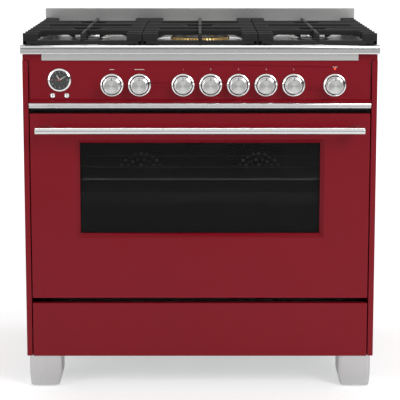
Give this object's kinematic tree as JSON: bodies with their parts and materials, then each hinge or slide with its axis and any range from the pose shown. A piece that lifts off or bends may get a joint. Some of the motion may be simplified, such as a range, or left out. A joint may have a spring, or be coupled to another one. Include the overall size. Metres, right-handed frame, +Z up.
{
  "type": "freestanding gas range",
  "caption": "Freestanding cooker with a gas hob under cast grates, a dial control panel, a windowed electric convection oven and a storage drawer on boot legs.",
  "frame": {"origin": "on the floor, midway between the sides and midway between the handle and the back", "axes": "+Z up, the front faces -Y, +X to the right of someone who faces the front"},
  "size_m": [0.908, 0.681, 0.9535],
  "materials": {
    "red_enamel": "gloss enamel paint",
    "stainless": "brushed stainless steel",
    "zinc_steel": "zinc-plated sheet steel",
    "cast_grate": "matt enamelled cast iron",
    "chrome_trim": "polished chrome",
    "oven_enamel": "dark speckled vitreous enamel",
    "burner_alloy": "cast aluminium",
    "burner_brass": "turned brass",
    "cap_enamel": "matt black enamelled caps",
    "dark_glass": "tinted tempered glass",
    "seal_cord": "woven glass-fibre gasket",
    "rubber_foot": "moulded rubber feet on steel studs",
    "clock_dial": "dark grey clock dial",
    "hand_white": "white painted hands",
    "tap_brass": "cast brass",
    "switch_plastic": "moulded switch bodies",
    "element_sheath": "heat-oxidised steel sheath",
    "pipe_steel": "bare gas pipe",
    "fan_steel": "pressed steel fan",
    "motor_steel": "painted motor cans",
    "pan_enamel": "speckled enamel pan"
  },
  "bodies": {
    "casing": {"left_side_panel": "red_enamel", "right_side_panel": "red_enamel", "rear_panel": "zinc_steel", "base_tray": "zinc_steel", "leg_boots": "stainless", "levelling_feet": "rubber_foot", "backguard": "stainless", "cooktop_tray": "stainless", "cooktop_rail": "stainless", "vent_strip": "stainless", "control_fascia": "red_enamel", "fascia_trim": "chrome_trim", "oven_liner": "oven_enamel", "door_seal": "seal_cord", "rack_guides": "chrome_trim", "fan_baffle": "oven_enamel", "fan_motors": "motor_steel", "heating_elements": "element_sheath", "dial_bezels": "chrome_trim", "clock_face": "clock_dial", "oven_switches": "switch_plastic", "gas_taps": "tap_brass", "gas_pipework": "pipe_steel", "burner_bases": "burner_alloy", "wok_burner_rings": "burner_brass", "burner_caps": "cap_enamel", "drawer_runners": "zinc_steel", "oven_rack_upper": "chrome_trim", "oven_rack_lower": "chrome_trim", "roasting_pan": "pan_enamel"},
    "door": {"door_outer_panel": "red_enamel", "door_inner_panel": "oven_enamel", "door_glass": "dark_glass", "door_handle": "chrome_trim", "door_hinge_yokes": "zinc_steel"},
    "drawer": {"drawer_front": "red_enamel", "drawer_box": "zinc_steel", "drawer_slides": "zinc_steel"},
    "tap_1": {"tap_plug_1": "tap_brass"},
    "knob_1": {"burner_knob_1": "chrome_trim"},
    "tap_2": {"tap_plug_2": "tap_brass"},
    "knob_2": {"burner_knob_2": "chrome_trim"},
    "tap_3": {"tap_plug_3": "tap_brass"},
    "knob_3": {"burner_knob_3": "chrome_trim"},
    "tap_4": {"tap_plug_4": "tap_brass"},
    "knob_4": {"burner_knob_4": "chrome_trim"},
    "tap_5": {"tap_plug_5": "tap_brass"},
    "knob_5": {"burner_knob_5": "chrome_trim"},
    "function_dial": {"function_knob": "chrome_trim"},
    "temperature_dial": {"temperature_knob": "chrome_trim"},
    "clean_dial": {"clean_knob": "chrome_trim"},
    "button_left": {"timer_button_left": "chrome_trim"},
    "button_right": {"timer_button_right": "chrome_trim"},
    "minute": {"minute_hand": "hand_white"},
    "hour": {"hour_hand": "hand_white"},
    "fan_left_rotor": {"fan_left": "fan_steel"},
    "fan_right_rotor": {"fan_right": "fan_steel"},
    "left_grate": {"grate_left": "cast_grate"},
    "centre_grate": {"grate_centre": "cast_grate"},
    "right_grate": {"grate_right": "cast_grate"}
  },
  "joints": [
    {"name": "door_hinge", "type": "hinge", "parent": "casing", "child": "door", "pos_m": [0, -0.2655, 0.25], "axis": [1, 0, 0], "range_deg": [0, 90]},
    {"name": "drawer_slide", "type": "slide", "parent": "casing", "child": "drawer", "axis": [0, -1, 0], "range_m": [0, 0.35]},
    {"name": "tap_1_turn", "type": "hinge", "parent": "casing", "child": "tap_1", "pos_m": [-0.0431, -0.2735, 0.793], "axis": [0, -1, 0], "range_deg": [0, 240]},
    {"name": "knob_1_push", "type": "slide", "parent": "tap_1", "child": "knob_1", "axis": [0, 1, 0], "range_m": [0, 0.004], "stiffness_N_per_m": 900},
    {"name": "tap_2_turn", "type": "hinge", "parent": "casing", "child": "tap_2", "pos_m": [0.0271, -0.2735, 0.793], "axis": [0, -1, 0], "range_deg": [0, 240]},
    {"name": "knob_2_push", "type": "slide", "parent": "tap_2", "child": "knob_2", "axis": [0, 1, 0], "range_m": [0, 0.004], "stiffness_N_per_m": 900},
    {"name": "tap_3_turn", "type": "hinge", "parent": "casing", "child": "tap_3", "pos_m": [0.0973, -0.2735, 0.793], "axis": [0, -1, 0], "range_deg": [0, 240]},
    {"name": "knob_3_push", "type": "slide", "parent": "tap_3", "child": "knob_3", "axis": [0, 1, 0], "range_m": [0, 0.004], "stiffness_N_per_m": 900},
    {"name": "tap_4_turn", "type": "hinge", "parent": "casing", "child": "tap_4", "pos_m": [0.1675, -0.2735, 0.793], "axis": [0, -1, 0], "range_deg": [0, 240]},
    {"name": "knob_4_push", "type": "slide", "parent": "tap_4", "child": "knob_4", "axis": [0, 1, 0], "range_m": [0, 0.004], "stiffness_N_per_m": 900},
    {"name": "tap_5_turn", "type": "hinge", "parent": "casing", "child": "tap_5", "pos_m": [0.2377, -0.2735, 0.793], "axis": [0, -1, 0], "range_deg": [0, 240]},
    {"name": "knob_5_push", "type": "slide", "parent": "tap_5", "child": "knob_5", "axis": [0, 1, 0], "range_m": [0, 0.004], "stiffness_N_per_m": 900},
    {"name": "function_turn", "type": "hinge", "parent": "casing", "child": "function_dial", "pos_m": [-0.2235, -0.2735, 0.793], "axis": [0, -1, 0], "range_deg": [0, 315]},
    {"name": "temperature_turn", "type": "hinge", "parent": "casing", "child": "temperature_dial", "pos_m": [-0.1535, -0.2735, 0.793], "axis": [0, -1, 0], "range_deg": [0, 270]},
    {"name": "clean_turn", "type": "hinge", "parent": "casing", "child": "clean_dial", "pos_m": [0.342, -0.2735, 0.793], "axis": [0, -1, 0], "range_deg": [0, 270]},
    {"name": "button_left_push", "type": "slide", "parent": "casing", "child": "button_left", "axis": [0, 1, 0], "range_m": [0, 0.0018], "stiffness_N_per_m": 600},
    {"name": "button_right_push", "type": "slide", "parent": "casing", "child": "button_right", "axis": [0, 1, 0], "range_m": [0, 0.0018], "stiffness_N_per_m": 600},
    {"name": "minute_turn", "type": "hinge", "parent": "casing", "child": "minute", "pos_m": [-0.3564, -0.2735, 0.806], "axis": [0, 1, 0], "continuous": true},
    {"name": "hour_turn", "type": "hinge", "parent": "casing", "child": "hour", "pos_m": [-0.3564, -0.2735, 0.806], "axis": [0, 1, 0], "continuous": true},
    {"name": "fan_left_spin", "type": "hinge", "parent": "casing", "child": "fan_left_rotor", "pos_m": [-0.169, 0.2, 0.48], "axis": [0, 1, 0], "continuous": true},
    {"name": "fan_right_spin", "type": "hinge", "parent": "casing", "child": "fan_right_rotor", "pos_m": [0.169, 0.2, 0.48], "axis": [0, 1, 0], "continuous": true},
    {"name": "grate_left_lift", "type": "slide", "parent": "casing", "child": "left_grate", "axis": [0, 0, 1], "range_m": [0, 0.1]},
    {"name": "grate_centre_lift", "type": "slide", "parent": "casing", "child": "centre_grate", "axis": [0, 0, 1], "range_m": [0, 0.1]},
    {"name": "grate_right_lift", "type": "slide", "parent": "casing", "child": "right_grate", "axis": [0, 0, 1], "range_m": [0, 0.1]}
  ],
  "couplings": [
    {"joint": "hour_turn", "follows": "minute_turn", "ratio": 0.083333}
  ]
}
